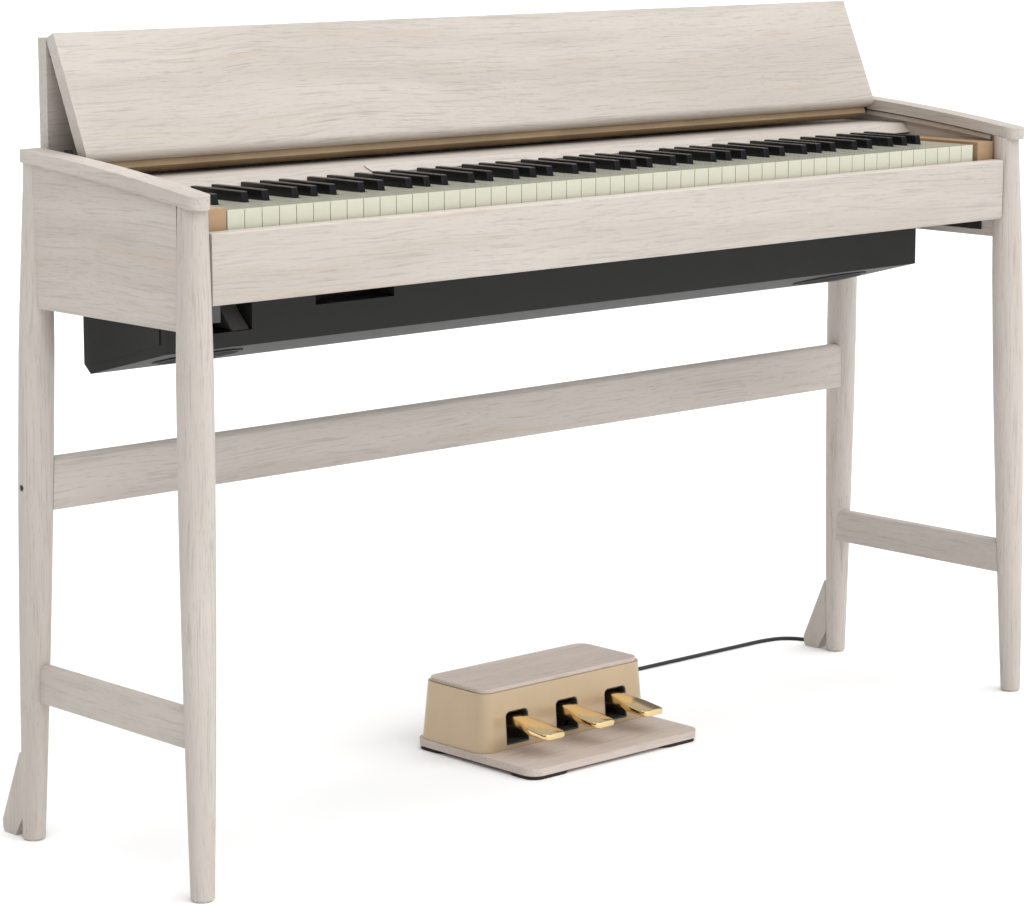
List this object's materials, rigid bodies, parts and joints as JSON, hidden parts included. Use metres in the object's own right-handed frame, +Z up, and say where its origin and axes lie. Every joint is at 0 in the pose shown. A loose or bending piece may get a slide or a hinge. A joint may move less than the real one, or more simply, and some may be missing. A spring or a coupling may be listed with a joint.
{
  "type": "digital piano on stand",
  "caption": "Slim wooden digital piano on round tapered legs, with a two-panel folding lid, sprung keys, speaker box and a separate floor pedal unit on a cable.",
  "frame": {"origin": "middle of the resting face, on the floor between the legs", "axes": "+X from the bass end to the treble end, +Y from the player to the back, +Z up"},
  "size_m": [1.3887, 0.4306, 0.91],
  "materials": {
    "whitewashed_wood": "whitewashed open-grain ash, satin",
    "tan_block": "satin tan",
    "lid_lip": "satin tan",
    "white_key": "satin ivory",
    "black_key": "satin ebony",
    "black_box": "fine-textured black",
    "dark_metal": "dark coated steel",
    "circuit_board": "green board",
    "pedal_brass": "polished",
    "pedal_casing": "champagne satin",
    "rubber": "matte",
    "cord": "matte black"
  },
  "bodies": {
    "root": {"anti_tip_foot_left": "whitewashed_wood", "anti_tip_foot_right": "whitewashed_wood", "arm_left": "whitewashed_wood", "arm_right": "whitewashed_wood", "back_board": "whitewashed_wood", "cheek_block_left": "tan_block", "cheek_block_right": "tan_block", "control_board": "whitewashed_wood", "front_rail": "whitewashed_wood", "key_bed": "whitewashed_wood", "key_frame": "dark_metal", "leg_front_left": "whitewashed_wood", "leg_front_right": "whitewashed_wood", "leg_rear_left": "whitewashed_wood", "leg_rear_right": "whitewashed_wood", "lid_pivot_left": "dark_metal", "lid_pivot_right": "dark_metal", "main_board": "circuit_board", "pedal_base": "whitewashed_wood", "pedal_casing": "pedal_casing", "pedal_cord": "cord", "pedal_pad_front_left": "rubber", "pedal_pad_front_right": "rubber", "pedal_pad_rear_left": "rubber", "pedal_pad_rear_right": "rubber", "pedal_plug": "cord", "pedal_rod": "dark_metal", "pedal_top": "whitewashed_wood", "rear_stretcher": "whitewashed_wood", "side_panel_left": "whitewashed_wood", "side_panel_right": "whitewashed_wood", "side_stretcher_left": "whitewashed_wood", "side_stretcher_right": "whitewashed_wood", "speaker_box": "black_box", "speaker_left": "dark_metal", "speaker_right": "dark_metal", "touch_panel": "whitewashed_wood"},
    "lid_rear": {"lid_rear_panel": "whitewashed_wood", "fold_hinge": "dark_metal"},
    "lid_front": {"lid_front_panel": "whitewashed_wood", "lid_lip": "lid_lip"},
    "pedal_left": {"pedal_left": "pedal_brass"},
    "pedal_middle": {"pedal_middle": "pedal_brass"},
    "pedal_right": {"pedal_right": "pedal_brass"},
    "white_bass": {"white_keys_bass": "white_key"},
    "white_treble": {"white_keys_treble": "white_key"},
    "black_bass": {"black_keys_bass": "black_key"},
    "black_treble": {"black_keys_treble": "black_key"},
    "white_c": {"white_key_c": "white_key"},
    "black_c_sharp": {"black_key_c_sharp": "black_key"},
    "white_d": {"white_key_d": "white_key"},
    "black_d_sharp": {"black_key_d_sharp": "black_key"},
    "white_e": {"white_key_e": "white_key"},
    "white_f": {"white_key_f": "white_key"},
    "black_f_sharp": {"black_key_f_sharp": "black_key"},
    "white_g": {"white_key_g": "white_key"},
    "black_g_sharp": {"black_key_g_sharp": "black_key"},
    "white_a": {"white_key_a": "white_key"},
    "black_a_sharp": {"black_key_a_sharp": "black_key"},
    "white_b": {"white_key_b": "white_key"}
  },
  "joints": [
    {"name": "lid_hinge", "type": "hinge", "parent": "root", "child": "lid_rear", "pos_m": [0, 0.13484, 0.763], "axis": [1, 0, 0], "range_deg": [0, 90]},
    {"name": "lid_fold", "type": "hinge", "parent": "lid_rear", "child": "lid_front", "pos_m": [0, 0.12714, 0.9042], "axis": [1, 0, 0], "range_deg": [-154.2, 0]},
    {"name": "pedal_left_press", "type": "hinge", "parent": "root", "child": "pedal_left", "pos_m": [-0.0425, 0.11634, 0.05], "axis": [1, 0, 0], "range_deg": [0, 6.5], "stiffness_Nm_per_rad": 20, "springref_deg": -5.73},
    {"name": "pedal_middle_press", "type": "hinge", "parent": "root", "child": "pedal_middle", "pos_m": [0.0425, 0.11634, 0.05], "axis": [1, 0, 0], "range_deg": [0, 6.5], "stiffness_Nm_per_rad": 20, "springref_deg": -5.73},
    {"name": "pedal_right_press", "type": "hinge", "parent": "root", "child": "pedal_right", "pos_m": [0.1275, 0.11634, 0.05], "axis": [1, 0, 0], "range_deg": [0, 6.5], "stiffness_Nm_per_rad": 20, "springref_deg": -5.73},
    {"name": "white_bass_press", "type": "hinge", "parent": "root", "child": "white_bass", "pos_m": [0, 0.06734, 0.709], "axis": [1, 0, 0], "range_deg": [0, 2.6], "stiffness_Nm_per_rad": 46, "springref_deg": -8.59},
    {"name": "white_treble_press", "type": "hinge", "parent": "root", "child": "white_treble", "pos_m": [0, 0.06734, 0.709], "axis": [1, 0, 0], "range_deg": [0, 2.6], "stiffness_Nm_per_rad": 44, "springref_deg": -8.59},
    {"name": "black_bass_press", "type": "hinge", "parent": "root", "child": "black_bass", "pos_m": [0, 0.05584, 0.707], "axis": [1, 0, 0], "range_deg": [0, 2.6], "stiffness_Nm_per_rad": 16, "springref_deg": -8.59},
    {"name": "black_treble_press", "type": "hinge", "parent": "root", "child": "black_treble", "pos_m": [0, 0.05584, 0.707], "axis": [1, 0, 0], "range_deg": [0, 2.6], "stiffness_Nm_per_rad": 15, "springref_deg": -8.59},
    {"name": "white_c_press", "type": "hinge", "parent": "root", "child": "white_c", "pos_m": [0, 0.06734, 0.709], "axis": [1, 0, 0], "range_deg": [0, 2.6], "stiffness_Nm_per_rad": 2, "springref_deg": -8.59},
    {"name": "black_c_sharp_press", "type": "hinge", "parent": "root", "child": "black_c_sharp", "pos_m": [0, 0.05584, 0.707], "axis": [1, 0, 0], "range_deg": [0, 2.6], "stiffness_Nm_per_rad": 1, "springref_deg": -8.59},
    {"name": "white_d_press", "type": "hinge", "parent": "root", "child": "white_d", "pos_m": [0, 0.06734, 0.709], "axis": [1, 0, 0], "range_deg": [0, 2.6], "stiffness_Nm_per_rad": 2, "springref_deg": -8.59},
    {"name": "black_d_sharp_press", "type": "hinge", "parent": "root", "child": "black_d_sharp", "pos_m": [0, 0.05584, 0.707], "axis": [1, 0, 0], "range_deg": [0, 2.6], "stiffness_Nm_per_rad": 1, "springref_deg": -8.59},
    {"name": "white_e_press", "type": "hinge", "parent": "root", "child": "white_e", "pos_m": [0, 0.06734, 0.709], "axis": [1, 0, 0], "range_deg": [0, 2.6], "stiffness_Nm_per_rad": 2, "springref_deg": -8.59},
    {"name": "white_f_press", "type": "hinge", "parent": "root", "child": "white_f", "pos_m": [0, 0.06734, 0.709], "axis": [1, 0, 0], "range_deg": [0, 2.6], "stiffness_Nm_per_rad": 2, "springref_deg": -8.59},
    {"name": "black_f_sharp_press", "type": "hinge", "parent": "root", "child": "black_f_sharp", "pos_m": [0, 0.05584, 0.707], "axis": [1, 0, 0], "range_deg": [0, 2.6], "stiffness_Nm_per_rad": 1, "springref_deg": -8.59},
    {"name": "white_g_press", "type": "hinge", "parent": "root", "child": "white_g", "pos_m": [0, 0.06734, 0.709], "axis": [1, 0, 0], "range_deg": [0, 2.6], "stiffness_Nm_per_rad": 2, "springref_deg": -8.59},
    {"name": "black_g_sharp_press", "type": "hinge", "parent": "root", "child": "black_g_sharp", "pos_m": [0, 0.05584, 0.707], "axis": [1, 0, 0], "range_deg": [0, 2.6], "stiffness_Nm_per_rad": 1, "springref_deg": -8.59},
    {"name": "white_a_press", "type": "hinge", "parent": "root", "child": "white_a", "pos_m": [0, 0.06734, 0.709], "axis": [1, 0, 0], "range_deg": [0, 2.6], "stiffness_Nm_per_rad": 2, "springref_deg": -8.59},
    {"name": "black_a_sharp_press", "type": "hinge", "parent": "root", "child": "black_a_sharp", "pos_m": [0, 0.05584, 0.707], "axis": [1, 0, 0], "range_deg": [0, 2.6], "stiffness_Nm_per_rad": 1, "springref_deg": -8.59},
    {"name": "white_b_press", "type": "hinge", "parent": "root", "child": "white_b", "pos_m": [0, 0.06734, 0.709], "axis": [1, 0, 0], "range_deg": [0, 2.6], "stiffness_Nm_per_rad": 2, "springref_deg": -8.59}
  ],
  "couplings": [
    {"joint": "lid_fold", "follows": "lid_hinge", "ratio": -1.7133}
  ]
}
